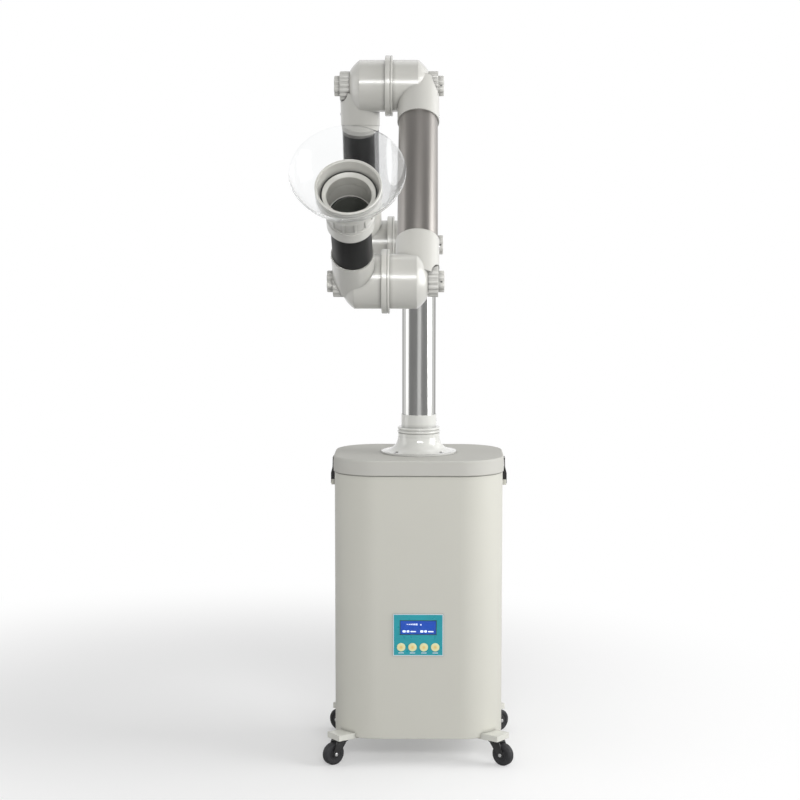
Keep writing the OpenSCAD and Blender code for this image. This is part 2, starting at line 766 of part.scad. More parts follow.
module column_flange() color(plastic_c) translate([0, 0, lid_top]) difference() {
    rotate_extrude() difference() {
        union() {
            square([flange_r, flange_t]);
            square([neck_r, flange_h]);
            square([neck_r + bell_r, flange_t + bell_r]);
        }
        translate([neck_r + bell_r + bell_step, flange_t + bell_r + bell_step]) circle(r = bell_r);
        translate([-over, -over]) square([flange_bore_r + over, flange_h + 2 * over]);
    }
    for (a = [45:90:315]) rotate([0, 0, a]) translate([flange_screw_r, 0, -over]) {
        cylinder(r = 2.6, h = flange_h);
        translate([0, 0, over + 3]) cylinder(r = 5.5, h = flange_h);
    }
}

module flange_screws() color(steel_c)
    for (a = [45:90:315]) rotate([0, 0, a]) translate([flange_screw_r, 0, lid_top])
        difference() {
            union() {
                cylinder(r = 2.5, h = 4);
                translate([0, 0, 3 + 0.05]) cylinder(r = 4.8, h = 2.6);
            }
            translate([0, 0, 4.6]) cylinder(r = 2, h = 3, $fn = 6);
        }

plate_gap = box_top + gap;
duct_plate_t = 2;
duct_lip = 12;

module intake_duct() color(steel_c) difference() {
    union() {
        translate([0, 0, plate_gap]) cylinder(r = duct_r, h = lid_top - lid_t - plate_gap);
        translate([0, 0, lid_top - lid_t - duct_plate_t]) cylinder(r = duct_r + duct_lip, h = duct_plate_t);
        translate([-box_w / 2, -box_d / 2, plate_gap]) cube([box_w, box_d, duct_plate_t]);
    }
    translate([0, 0, plate_gap - over]) cylinder(r = duct_r - tube_t, h = lid_h + cab_h);
}

/* Column */
module swivel_collar() color(plastic_c) rotate_extrude() difference() {
    union() {
        translate([0, neck_z + gap - spigot_len]) square([spigot_r, spigot_len]);
        translate([0, neck_z + gap]) square([bead_r - 2, bead_h]);
        translate([bead_r - 3.3, neck_z + gap + 3.3]) circle(r = 3.3);
        translate([bead_r - 3, bead_top - 3]) circle(r = 3);
        translate([0, bead_top - eps]) square([column_r + seat + collar_t, sleeve_up]);
    }
    translate([-over, lid_top]) square([column_r + seat + over, cab_h]);
}

module column_tube() color(steel_c)
    translate([0, 0, neck_z + gap - spigot_len]) tube(column_r, tube_t,
        shoulder_z - sleeve_len + tube_in - neck_z - gap + spigot_len);

/* Arm joints. An elbow is drawn for a joint along X at the origin, with its sleeve along +Z
   after a turn of lean about X, on the side s: 1 is right and -1 is left. */
module barrel(from, r, len, dome_r) {
    translate([0, 0, from]) cylinder(r = r, h = len - from - over);
    intersection() {
        translate([0, 0, cap_sphere_x]) sphere(r = dome_r);
        translate([0, 0, len - 2 * over]) cylinder(r = r, h = hub_x - len + 2 * over);
    }
}

module elbow_outside(lean, tube_r, cut_down) {
    along_x() barrel(face_x, barrel_r, barrel_len, cap_sphere_r);
    along_x() translate([0, 0, face_x]) cylinder(r = rim_r, h = rim_t);
    difference() {
        rotate([lean, 0, 0]) translate([offset_x, 0, 0])
            cylinder(r = tube_r + seat + sleeve_t, h = sleeve_len);
        if (cut_down > 0)
            translate([0, -sleeve_len, -cut_down - sleeve_len]) cube(2 * [sleeve_len, sleeve_len, sleeve_len / 2]);
    }
    if (cut_down > 0)
        rotate([lean, 0, 0]) translate([offset_x, 0, 0])
            cylinder(r = tube_r + seat + coupler_t, h = sleeve_len);
}

module elbow_inside(lean, tube_r) {
    difference() {
        union() {
            along_x() barrel(-over, barrel_r - elbow_t, barrel_len - elbow_t, cap_sphere_r - elbow_t);
            rotate([lean, 0, 0]) translate([offset_x, 0, 0])
                cylinder(r = tube_r - tube_t, h = sleeve_len);
        }
        along_x() translate([0, 0, hub_x - hub_len]) cylinder(r = hub_r, h = 2 * hub_len);
        along_x() translate([0, 0, hub_x - elbow_t]) cylinder(r = pocket_r + pocket_wall, h = offset_x);
    }
    rotate([lean, 0, 0]) translate([offset_x, 0, sleeve_len - tube_in])
        cylinder(r = tube_r + seat, h = tube_in + over);
    translate([hub_x, 0, 0]) along_x() cylinder(r = pocket_r, h = offset_x);
    along_x() cylinder(r = spindle_r + fit, h = hub_x + over);
}

module spigot() {
    translate([0, 0, -lip_len]) tube(barrel_r - elbow_t - spigot_fit, lip_t, lip_len + 6);
    translate([0, 0, 1]) tube(barrel_r - 1, elbow_t + lip_t, 4);
}

module elbow(s, lean, tube_r, has_spigot, cut_down = 0) {
    mirror([s < 0 ? 1 : 0, 0, 0]) {
        difference() {
            elbow_outside(lean, tube_r, cut_down);
            elbow_inside(lean, tube_r);
        }
        if (has_spigot) along_x() spigot();
    }
}

module clamp_ring() along_x() rotate_extrude() difference() {
    union() {
        translate([barrel_r + gap, -ring_w / 2]) square([ring_r - barrel_r - gap - 1.5, ring_w]);
        translate([barrel_r + gap, -ring_w / 2 + 1.5]) square([ring_r - barrel_r - gap, ring_w - 3]);
        for (s = [-1, 1])
            translate([ring_r - 1.5, s * (ring_w / 2 - 1.5)]) circle(r = 1.5);
    }
    translate([0, -rim_t - 1.5 * gap]) square([rim_r + gap, 2 * rim_t + 3 * gap]);
    translate([ring_r - 1, ring_w / 6]) square([2, 1.2]);
}

// The grip wheel and star outside an elbow on side s
module knob(s, spindle) mirror([s < 0 ? 1 : 0, 0, 0]) along_x() {
    difference() {
        union() {
            translate([0, 0, hub_x + gap]) cylinder(r = knob_r - 1.5, h = knob_len);
            for (i = [0:knob_ribs - 1]) rotate([0, 0, i * 360 / knob_ribs])
                translate([knob_r - 3, 0, hub_x + gap + rib_step]) cylinder(r = 3, h = knob_len - 2 * rib_step);
            translate([0, 0, hub_x + knob_len - over]) {
                cylinder(r = star_r - 5, h = star_len + over + gap);
                for (i = [0:5]) rotate([0, 0, i * 60])
                    translate([star_r - 6, 0, 0]) cylinder(r = 6, h = star_len + over + gap - rib_step);
            }
        }
        if (!spindle) cylinder(r = spindle_r + fit, h = hub_x + knob_len);
    }
    if (spindle)
        translate([0, 0, -hub_x - knob_len + 4]) cylinder(r = spindle_r, h = 2 * hub_x + 2 * knob_len - 8);
}

module at_shoulder() {
    translate(shoulder_p) children();
}

module at_upper() {
    translate(upper_p) children();
}

module at_wrist() {
    translate(wrist_p) children();
}

down_b = 180 - lean_b;
back_a = 180 + lean_a;
up_b = -lean_b;

module shoulder_elbow_right() color(plastic_c) at_shoulder() elbow(1, 180, column_r, true);
module shoulder_elbow_left() color(plastic_c) at_shoulder() elbow(-1, lean_a, black_r, false);
module upper_elbow_left() color(plastic_c) at_upper() elbow(-1, back_a, black_r, true, cut_below);
module upper_elbow_right() color(plastic_c) at_upper() elbow(1, down_b, metal_r, false);
module wrist_elbow_right() color(plastic_c) at_wrist() elbow(1, up_b, metal_r, true);
module wrist_elbow_left() color(plastic_c) at_wrist() elbow(-1, lean_c, black_r, false);
module shoulder_clamp_ring() color(plastic_c) at_shoulder() clamp_ring();
module upper_clamp_ring() color(plastic_c) at_upper() clamp_ring();
module wrist_clamp_ring() color(plastic_c) at_wrist() clamp_ring();

module arm_tube(p, lean, side_x, r, from, to) {
    translate([side_x, p[1], p[2]]) rotate([lean, 0, 0]) translate([0, 0, from]) tube(r, tube_t, to - from);
}

inset = sleeve_len - tube_in + seat;
module arm_tube_a() color(black_c)
    arm_tube(shoulder_p, lean_a, left_x, black_r, inset, arm_a_len - inset);
module arm_tube_b() color([0.5, 0.48, 0.46])
    arm_tube(upper_p, down_b, 0, metal_r, inset, arm_b_len - inset);
module arm_tube_c() color(black_c)
    arm_tube(wrist_p, lean_c, left_x, black_r, inset, tube_c_end);

/* Nut, nozzle and hood, drawn along the third arm's axis */
nut_grip = 34;
tube_c_end = nut_start + nut_grip;
nut_end = nut_start + nut_len;
cup_start = nut_end + gap;
rim_end = cup_start + pipe_rim_t;
hood_ball_r = (hood_r * hood_r + hood_deep * hood_deep) / (2 * hood_deep);
hood_pole = cup_start + hood_seat - hood_ball_r + sqrt(hood_ball_r * hood_ball_r - cup_r * cup_r);

module along_c() {
    translate([left_x, wrist_p[1], wrist_p[2]]) rotate([lean_c, 0, 0]) children();
}

flare_arc_r = 40;
nut_neck_r = black_r + 5.5;
nut_room_r = black_r + 2;
nut_disc_t = 12;
nut_ring_t = 1.2;
nut_ring_h = 27;
nut_pocket_w = 18;
nut_skin = 1.7;
pipe_r = nozzle_bore_r + 4.2;
nut_pipe_r = pipe_r + spigot_fit;
nut_pipe_z = rim_end - nozzle_len - gap;
flare_z = nut_end - nut_disc_t - sqrt(pow(flare_arc_r, 2) - pow(flare_arc_r + nut_neck_r - flare_r, 2));

module nut_pocket() {
    low = nut_start + nut_ring_h + 4;
    top = nut_end - nut_disc_t;
    bend = nut_pipe_z - 12;
    rotate([90, 0, 0]) translate([0, 0, -nut_pocket_w / 2]) linear_extrude(nut_pocket_w)
        polygon([[nut_room_r + nut_skin, low], [nut_room_r + nut_skin, bend],
            [nut_pipe_r + nut_skin, nut_pipe_z - 1], [nut_pipe_r + nut_skin, top],
            [flare_r + over, top], [flare_r + over, low]]);
}

module union_nut() color(plastic_c) along_c() difference() {
    rotate_extrude() difference() {
        union() {
            translate([0, nut_start]) square([nut_neck_r, nut_len]);
            translate([0, nut_start]) square([nut_neck_r + nut_ring_t, nut_ring_h]);
            translate([0, flare_z]) square([flare_r, nut_end - flare_z]);
        }
        translate([nut_neck_r + flare_arc_r, flare_z]) circle(r = flare_arc_r);
        translate([-over, nut_start - over]) square([black_r + fit + over, nut_grip + 2 + over]);
        translate([-over, tube_c_end]) square([nut_room_r + over, nut_len]);
        translate([-over, nut_pipe_z]) square([nut_pipe_r + over, nut_len]);
    }
    for (i = [0:nut_ribs - 1]) rotate([0, 0, i * 360 / nut_ribs]) nut_pocket();
}

module nozzle() color(plastic_c) along_c() rotate_extrude() {
    difference() {
        union() {
            translate([nozzle_bore_r, rim_end - nozzle_len]) square([pipe_r - nozzle_bore_r, nozzle_len]);
            translate([nozzle_bore_r, cup_start]) square([nozzle_rim_r - nozzle_bore_r, pipe_rim_t]);
            translate([nozzle_bore_r + 2, cup_start]) square([cup_r - nozzle_bore_r - 2, 2]);
            translate([cup_r - cup_t, cup_start]) square([cup_t, cup_len]);
        }
        translate([0, rim_end]) square([cup_r - cup_t, cup_len]);
    }
}

module clear_hood() color([0.9, 0.95, 1, 0.35]) along_c() difference() {
    intersection() {
        translate([0, 0, hood_pole + hood_ball_r]) sphere(r = hood_ball_r);
        translate([0, 0, hood_pole]) cylinder(r = 2 * hood_r, h = hood_deep);
    }
    translate([0, 0, hood_pole + hood_ball_r]) sphere(r = hood_ball_r - hood_t);
    translate([0, 0, hood_pole - over]) cylinder(r = cup_r + seat, h = hood_deep / 2);
}

chassis_frame();
cabinet_shell();
equipment_shelf();
exhaust_grille();
power_inlet();
rocker_switch();
control_panel();
display_screen();
control_board();
button(0);  // button_1
button(1);  // button_2
button(2);  // button_3
button(3);  // button_4
blower_housing();
motor();
impeller();
filter_box();
prefilter();
hepa_filter();
carbon_filter();
uv_lamps();
latch(-1);  // latch_left
latch(1);  // latch_right
caster_fork(0);  // caster_fork_1
caster_fork(1);  // caster_fork_2
caster_fork(2);  // caster_fork_3
caster_fork(3);  // caster_fork_4
caster_wheel(0);  // caster_wheel_1
caster_wheel(1);  // caster_wheel_2
caster_wheel(2);  // caster_wheel_3
caster_wheel(3);  // caster_wheel_4
lid();
lid_gasket();
column_flange();
flange_screws();
latch_keepers();
intake_duct();
swivel_collar();
column_tube();
shoulder_elbow_right();
shoulder_elbow_left();
shoulder_clamp_ring();
arm_tube_a();
upper_elbow_left();
upper_elbow_right();
upper_clamp_ring();
arm_tube_b();
wrist_elbow_right();
wrist_elbow_left();
wrist_clamp_ring();
arm_tube_c();
at_shoulder() color(plastic_c) knob(1, true);  // shoulder_knob_right
at_shoulder() color(plastic_c) knob(-1, false);  // shoulder_knob_left
at_upper() color(plastic_c) knob(1, true);  // upper_knob_right
at_upper() color(plastic_c) knob(-1, false);  // upper_knob_left
at_wrist() color(plastic_c) knob(1, true);  // wrist_knob_right
at_wrist() color(plastic_c) knob(-1, false);  // wrist_knob_left
union_nut();
nozzle();
clear_hood();
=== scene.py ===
"""Looks for the extraoral dental suction unit. Metres, Z up, -Y towards the user."""
import math

import bmesh
import bpy
from mathutils import Matrix, Vector


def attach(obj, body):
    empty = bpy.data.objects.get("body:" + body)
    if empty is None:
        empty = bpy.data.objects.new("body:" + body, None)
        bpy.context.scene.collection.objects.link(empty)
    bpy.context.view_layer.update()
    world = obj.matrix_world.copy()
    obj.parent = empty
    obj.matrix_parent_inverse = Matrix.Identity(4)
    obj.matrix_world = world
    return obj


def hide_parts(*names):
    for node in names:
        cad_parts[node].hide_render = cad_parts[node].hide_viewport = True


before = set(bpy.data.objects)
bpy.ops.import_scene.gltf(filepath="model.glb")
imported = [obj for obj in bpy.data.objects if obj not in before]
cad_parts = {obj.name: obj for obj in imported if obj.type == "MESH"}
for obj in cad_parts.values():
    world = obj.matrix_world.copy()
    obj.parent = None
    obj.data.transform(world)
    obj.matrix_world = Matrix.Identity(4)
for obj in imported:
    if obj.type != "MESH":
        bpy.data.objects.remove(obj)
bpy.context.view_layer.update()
MM = 0.001
TAU = 2 * math.pi

# Camera, matched to the photograph
FOCAL_PX, IMAGE_PX, SENSOR = 1873.4, 800, 36.0
CAMERA_AT, CAMERA_DOWN, CAMERA_TURN = (0.0292, -4.2195, 1.2482), 6.001, 0.977
cam_data = bpy.data.cameras.new("camera")
cam_data.sensor_width = SENSOR
cam_data.lens = FOCAL_PX * SENSOR / IMAGE_PX
cam_data.clip_end = 60
camera = bpy.data.objects.new("camera", cam_data)
camera.location = CAMERA_AT
camera.rotation_euler = (math.radians(90 - CAMERA_DOWN), 0, math.radians(CAMERA_TURN))
bpy.context.collection.objects.link(camera)
bpy.context.scene.camera = camera
bpy.context.scene.view_settings.view_transform = "Standard"

# Sizes repeated from the part's source, in millimetres
SHOULDER = Vector((-62.5, 0, 1155))
A_LEN, B_LEN = 393, 503
LEAN_A, LEAN_B, LEAN_C = (math.radians(a) for a in (30, 37, 54))
UPPER = SHOULDER + A_LEN * Vector((0, -math.sin(LEAN_A), math.cos(LEAN_A)))
WRIST = UPPER + B_LEN * Vector((0, -math.sin(LEAN_B), -math.cos(LEAN_B)))
LEFT_X = -125
TUBE_START, TUBE_IN_NUT, TUBE_T, BLACK_R, METAL_R, SLEEVE = 52.1, 34, 2, 39, 41, 2.9
HUB_X, KNOB_GAP, KNOB_LEN, STAR_LEN = 83.5, 0.3, 20.5, 12
KNOB_R, STAR_R, RIBS = 31, 21.5, 16
NUT_START, NUT_LEN, CUP_START = 197, 89, 286.3
RIM_END, CUP_END, CUP_R = 291.3, 315.3, 62.5
HOOD_R, HOOD_DEEP, HOOD_T, HOOD_SEAT = 107, 78, 2.5, 14
BALL_R = (HOOD_R ** 2 + HOOD_DEEP ** 2) / (2 * HOOD_DEEP)
HOOD_POLE = CUP_START + HOOD_SEAT - BALL_R + math.sqrt(BALL_R ** 2 - CUP_R ** 2)
CAB_W, CAB_D, CAB_R, CAB_Z = 377, 290, 95, 60
KING = ((-175, -130), (175, -130), (175, 130), (-175, 130))
WHEEL_R, WHEEL_W, TRAIL, CROWN_TOP = 25, 18, 18, 56.7
PANEL_Z, PANEL_W, PANEL_H, FACE_Y = 296.5, 111, 94, -146.5
SCREEN_Z, SCREEN_W, SCREEN_H = 313.2, 78.4, 29.7
KEY_X, KEY_Z, KEY_R = (-37.8, -12.6, 12.6, 37.8), 268.8, 9.3


# Materials
def srgb(r, g, b):
    """Linear colour of an sRGB one given from 0 to 255."""
    def lin(v):
        v /= 255
        return v / 12.92 if v <= 0.04045 else ((v + 0.055) / 1.055) ** 2.4
    return lin(r), lin(g), lin(b), 1.0


class Shader:
    """A node material built step by step around one Principled shader."""

    def __init__(self, name, rough=0.4, metal=0.0, spec=0.5, coat=0.0, coat_rough=0.1):
        self.mat = bpy.data.materials.new(name)
        self.mat.use_nodes = True
        self.tree = self.mat.node_tree
        self.bsdf = self.tree.nodes["Principled BSDF"]
        self.out = self.tree.nodes["Material Output"]
        self.set("Roughness", rough)
        self.set("Metallic", metal)
        self.set("Specular IOR Level", spec)
        self.set("Coat Weight", coat)
        self.set("Coat Roughness", coat_rough)
        self.coord = self.node("ShaderNodeTexCoord").outputs["Object"]
        self.rough = rough

    def set(self, socket, value):
        self.bsdf.inputs[socket].default_value = value
        return self

    def drawn(self, amount):
        """Fine grain along a tube's length, which smears reflections along it."""
        return self.set("Anisotropic", amount).set("Anisotropic Rotation", 0.25)

    def node(self, kind, **inputs):
        n = self.tree.nodes.new(kind)
        for key, value in inputs.items():
            self.put(n.inputs[key.replace("_", " ")], value)
        return n

    def put(self, socket, value):
        if isinstance(value, bpy.types.NodeSocket):
            self.tree.links.new(value, socket)
        else:
            socket.default_value = value

    def noise(self, scale, detail, stretch=None):
        vector = self.coord
        if stretch:
            vector = self.node("ShaderNodeMapping", Vector=vector, Scale=stretch).outputs[0]
        return self.node("ShaderNodeTexNoise", Vector=vector, Scale=scale, Detail=detail).outputs["Fac"]

    def spread(self, fac, low, high, from_low=0.3, from_high=0.7):
        n = self.node("ShaderNodeMapRange", Value=fac)
        for i, v in zip((1, 2, 3, 4), (from_low, from_high, low, high)):
            n.inputs[i].default_value = v
        return n.outputs[0]

    def mix(self, fac, a, b):
        n = self.tree.nodes.new("ShaderNodeMix")
        n.data_type = "RGBA"
        self.put(n.inputs[0], fac)
        self.put(n.inputs[6], a)
        self.put(n.inputs[7], b)
        return n.outputs[2]

    def colour(self, base, vary, scale, stretch=None):
        """Base colour that drifts by the share vary."""
        dark = [c * (1 - vary) for c in base[:3]] + [1]
        light = [min(c * (1 + vary), 1) for c in base[:3]] + [1]
        self.tone = self.mix(self.spread(self.noise(scale, 5, stretch), 0, 1), dark, light)
        self.put(self.bsdf.inputs["Base Color"], self.tone)
        return self

    def finish(self, scale, spread, stretch=None):
        """Roughness that drifts by spread."""
        value = self.spread(self.noise(scale, 3, stretch), max(self.rough - spread, 0.02), self.rough + spread)
        self.put(self.bsdf.inputs["Roughness"], value)
        return self

    def bump(self, scale, depth, strength, stretch=None, edge=0.0):
        """Fine grain, and edges that look rounded by edge."""
        n = self.node("ShaderNodeBump", Height=self.noise(scale, 2, stretch), Distance=depth, Strength=strength)
        if edge:
            self.put(n.inputs["Normal"], self.node("ShaderNodeBevel", Radius=edge).outputs[0])
        self.put(self.bsdf.inputs["Normal"], n.outputs[0])
        return self

    def combine(self, kind, first, second):
        n = self.node("ShaderNodeMath")
        n.operation = kind
        self.put(n.inputs[0], first)
        self.put(n.inputs[1], second)
        return n.outputs[0]

    def show(self, fac, other):
        """Mixes another shader over the Principled one by fac, as the material's surface."""
        n = self.node("ShaderNodeMixShader")
        self.put(n.inputs[0], fac)
        self.put(n.inputs[1], self.bsdf.outputs[0])
        self.put(n.inputs[2], other.outputs[0])
        self.put(self.out.inputs["Surface"], n.outputs[0])
        return self


# Painted shade in seams and crevices: how far it reaches, how dark it gets, and its samples
SEAM_REACH, SEAM_SHADE, SEAM_SAMPLES = 0.009, 0.5, 6


def moulded(name, base, rough, edge, coat=0.12, spec=0.5):
    """Moulded or paint-coated surface: slow colour drift, painted shade that darkens its seams and crevices, fine
    orange-peel grain and rounded edges.
    """
    s = Shader(name, rough, spec=spec, coat=coat, coat_rough=0.16)
    s.colour(base, 0.01, 5)
    # Painted shade: ambient occlusion darkens the base colour in seams, creases and grip pockets, where shade falls
    seam_shade_ao = s.node("ShaderNodeAmbientOcclusion", Distance=SEAM_REACH)
    seam_shade_ao.samples = SEAM_SAMPLES
    seam_painted_shade = [c * SEAM_SHADE for c in base[:3]] + [1]
    s.put(s.bsdf.inputs["Base Color"], s.mix(s.spread(seam_shade_ao.outputs["AO"], 0, 1, 0.3, 1), seam_painted_shade, s.tone))
    return s.finish(12, 0.03).bump(900, 0.00004, 0.2, edge=edge).mat


body_paint = moulded("body_paint", srgb(207, 206, 197), 0.46, 0.0015, 0, 0.3)
lid_paint = moulded("lid_paint", srgb(197, 196, 190), 0.55, 0.0026, 0, 0.12)
frame_paint = moulded("frame_paint", srgb(218, 218, 210), 0.38, 0.001)
plastic = moulded("grey_plastic", srgb(200, 199, 193), 0.3, 0.0012, 0.6)
elbow_plastic = moulded("elbow_plastic", srgb(200, 199, 193), 0.3, 0.0032, 0.6)
knob_plastic = moulded("knob_plastic", srgb(204, 203, 198), 0.38, 0.0006)
flange_plastic = moulded("flange_plastic", srgb(216, 216, 211), 0.14, 0.001, 0.8)
black_plastic = moulded("black_plastic", srgb(20, 20, 21), 0.26, 0.0006, 0.3)
dark_plastic = moulded("dark_plastic", srgb(48, 48, 50), 0.5, 0.0005)

# Tubes, with colour and gloss drawn out along their length
chrome = Shader("polished_tube", 0.2, 1.0).drawn(0.6).set("Specular Tint", (0.35, 0.35, 0.35, 1)) \
    .colour(srgb(206, 206, 204), 0.03, 30, (3, 3, 0.3)).finish(60, 0.02, (4, 4, 0.3)) \
    .bump(220, 0.000005, 0.1, (6, 6, 0.2)).mat
black_tube = Shader("black_tube", 0.34, spec=0.32).drawn(0.95) \
    .colour(srgb(10, 10, 10), 0.1, 12).finish(50, 0.03, (4, 4, 0.3)).mat
bronze_tube = Shader("bronze_tube", 0.38, 0.85, coat=0.2, coat_rough=0.25).drawn(0.8) \
    .colour(srgb(150, 146, 142), 0.03, 25, (3, 3, 0.3)).finish(60, 0.02, (4, 4, 0.3)).mat
bare_tube = Shader("bare_tube", 0.5, spec=0.4) \
    .colour(srgb(104, 106, 101), 0.06, 40).finish(60, 0.05).bump(500, 0.00002, 0.2).mat

# Metals, rubbers and what is inside
steel = Shader("screw_steel", 0.28, 1.0) \
    .colour(srgb(198, 198, 198), 0.05, 200).finish(300, 0.06).bump(1500, 0.00002, 0.2, edge=0.0003).mat
sheet = Shader("sheet_metal", 0.42, 0.9) \
    .colour(srgb(176, 178, 180), 0.05, 18).finish(40, 0.08).bump(300, 0.00003, 0.2, (1, 8, 1)).mat
rubber = Shader("gasket_rubber", 0.7, spec=0.3) \
    .colour(srgb(40, 40, 40), 0.1, 60).finish(150, 0.08).bump(1200, 0.00004, 0.4).mat
seal = Shader("seal_grey", 0.6, spec=0.3) \
    .colour(srgb(158, 157, 150), 0.05, 60).finish(150, 0.06).bump(1200, 0.00003, 0.3).mat
tyre = Shader("tyre_rubber", 0.62, spec=0.35) \
    .colour(srgb(50, 50, 52), 0.12, 80).finish(120, 0.1).bump(900, 0.00008, 0.5).mat
casting = Shader("motor_metal", 0.5, 0.4) \
    .colour(srgb(86, 88, 92), 0.1, 50).finish(80, 0.1).bump(700, 0.00015, 0.5, edge=0.0008).mat
paper = Shader("filter_paper", 0.85, spec=0.2) \
    .colour(srgb(232, 231, 224), 0.05, 120).finish(200, 0.05).bump(1600, 0.0001, 0.5).mat
carbon = Shader("filter_carbon", 0.75, spec=0.3) \
    .colour(srgb(40, 40, 42), 0.25, 400).finish(300, 0.1).bump(900, 0.0004, 0.6).mat
felt = Shader("filter_felt", 0.9, spec=0.15) \
    .colour(srgb(150, 160, 172), 0.12, 300).finish(300, 0.05).bump(1400, 0.0004, 0.7).mat
board = Shader("board_green", 0.4) \
    .colour(srgb(36, 104, 58), 0.18, 90).finish(90, 0.1).bump(600, 0.0001, 0.4).mat

# Panel film, and keys with a warmer middle
panel_film = Shader("panel_film", 0.3, coat=0.3, coat_rough=0.15) \
    .colour(srgb(28, 159, 172), 0.05, 25).finish(80, 0.05).bump(1500, 0.00002, 0.2, edge=0.0004).mat
key_film = Shader("key_yellow", 0.35, coat=0.2).colour(srgb(238, 236, 184), 0.03, 60)
centre = key_film.node("ShaderNodeVectorMath", Vector=key_film.coord)
centre.operation = "LENGTH"
ring = key_film.spread(centre.outputs["Value"], 1, 0, 0.001, 0.0062)
key_film.put(key_film.bsdf.inputs["Base Color"], key_film.mix(ring, key_film.tone, srgb(238, 204, 118)))
key_film = key_film.finish(90, 0.05).bump(1200, 0.00002, 0.2).mat
print_white = Shader("print_white", 0.4).colour(srgb(236, 240, 246), 0.03, 200).finish(200, 0.05).mat


def glowing(name, low, high, strength):
    """Lit window, whose glow drifts between two colours."""
    s = Shader(name, 0.18, coat=0.5, coat_rough=0.05).colour(low, 0.08, 60)
    s.put(s.bsdf.inputs["Emission Color"], s.mix(s.spread(s.noise(35, 2), 0, 1), low, high))
    return s.set("Emission Strength", strength).finish(60, 0.04).mat


screen_blue = glowing("screen_blue", srgb(3, 66, 168), srgb(6, 98, 212), 0.25)
screen_lit = glowing("screen_lit", srgb(206, 222, 250), srgb(244, 248, 255), 0.6)


def clear(name, tint, rough, ior, coat=0.0, thin=0.0):
    """Clear moulded plastic: the share thin goes straight through, and so do all shadow rays."""
    s = Shader(name, rough, coat=coat, coat_rough=rough).colour(tint, 0.008, 20)
    s.set("Transmission Weight", 1.0).set("IOR", ior)
    s.finish(30, 0.01).bump(60, 0.00004, 0.15)
    shade = s.node("ShaderNodeMapRange", Value=s.node("ShaderNodeLightPath").outputs["Is Shadow Ray"], To_Min=thin)
    through = s.node("ShaderNodeBsdfTransparent", Color=(0.985, 0.988, 0.99, 1))
    return s.show(shade.outputs[0], through).mat


hood_clear = clear("hood_clear", (0.985, 0.99, 0.99, 1), 0.03, 1.03, 0.6, 0.45)
lamp_glass = clear("lamp_glass", (0.9, 0.94, 1, 1), 0.06, 1.3)

FINISH = {"chassis_frame": frame_paint, "cabinet_shell": body_paint, "equipment_shelf": sheet,
          "exhaust_grille": dark_plastic, "power_inlet": black_plastic, "rocker_switch": black_plastic,
          "control_panel": panel_film, "display_screen": screen_blue, "control_board": board,
          "blower_housing": sheet, "motor": casting, "impeller": dark_plastic, "filter_box": sheet,
          "prefilter": felt, "hepa_filter": paper, "carbon_filter": carbon, "uv_lamps": lamp_glass,
          "latch_left": black_plastic, "latch_right": black_plastic, "lid": lid_paint, "lid_gasket": seal,
          "column_flange": flange_plastic, "flange_screws": steel, "latch_keepers": steel, "intake_duct": sheet,
          "swivel_collar": flange_plastic, "column_tube": chrome, "arm_tube_a": black_tube,
          "arm_tube_b": bronze_tube, "arm_tube_c": black_tube, "clear_hood": hood_clear}
FAMILIES = {"caster_fork": black_plastic, "caster_wheel": tyre, "button": key_film, "_knob_": knob_plastic,
            "_elbow_": elbow_plastic}
for name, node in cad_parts.items():
    family = next((mat for part, mat in FAMILIES.items() if part in name), plastic)
    node.data.materials.clear()
    node.data.materials.append(FINISH.get(name, family))


# Mesh helpers
def rounded(points, radii, steps):
    """An outline with its corners rounded: points is a closed list, radii one value or a list."""
    out = []
    n = len(points)
    for i, p in enumerate(points):
        r = radii if isinstance(radii, (int, float)) else radii[i]
        p = Vector(p)
        if r <= 0:
            out.append(p)
            continue
        a, b = Vector(points[i - 1]) - p, Vector(points[(i + 1) % n]) - p
        half = a.angle(b) / 2
        cut = min(r / math.tan(half), 0.49 * a.length, 0.49 * b.length)
        r = cut * math.tan(half)
        a.normalize(), b.normalize()
        mid = p + (a + b).normalized() * (r / math.sin(half))
        start, end = p + a * cut, p + b * cut
        u, v = start - mid, end - mid
        for k in range(steps + 1):
            t = k / steps
            w = (u * (1 - t) + v * t)
            out.append(mid + w.normalized() * r if w.length > 1e-9 else p)
    return out


def finish_mesh(name, bm, material, matrix=Matrix.Identity(4), sharp=40):
    """An object from a bmesh, smooth but for edges sharper than sharp degrees."""
    bmesh.ops.remove_doubles(bm, verts=bm.verts, dist=1e-7)
    bmesh.ops.recalc_face_normals(bm, faces=bm.faces)
    mesh = bpy.data.meshes.new(name)
    bm.to_mesh(mesh)
    bm.free()
    for p in mesh.polygons:
        p.use_smooth = True
    mesh.set_sharp_from_angle(angle=math.radians(sharp))
    mesh.materials.append(material)
    obj = bpy.data.objects.new(name, mesh)
    bpy.context.collection.objects.link(obj)
    obj.matrix_world = matrix
    return obj


def skin(bm, rings):
    """Joins closed rings of equally many points, the last one to the first; a ring may be one point."""
    for i in range(len(rings)):
        a, b = rings[i], rings[(i + 1) % len(rings)]
        for k in range(len(a)):
            j = (k + 1) % len(a)
            face = list(dict.fromkeys((a[k], a[j], b[j], b[k])))
            if len(face) > 2:
                bm.faces.new(face)


def add_lathe(bm, outline, steps):
    """Turns a closed outline of (radius, height) in mm round Z."""
    rings = []
    for r, z in outline:
        if r < 1e-6:
            rings.append([bm.verts.new((0, 0, z * MM))] * steps)
        else:
            rings.append([bm.verts.new((r * MM * math.cos(TAU * k / steps), r * MM * math.sin(TAU * k / steps),
                                        z * MM)) for k in range(steps)])
    skin(bm, rings)


def lathe(name, outline, material, matrix, steps=96):
    """A turned object of its own."""
    bm = bmesh.new()
    add_lathe(bm, outline, steps)
    return finish_mesh(name, bm, material, matrix)


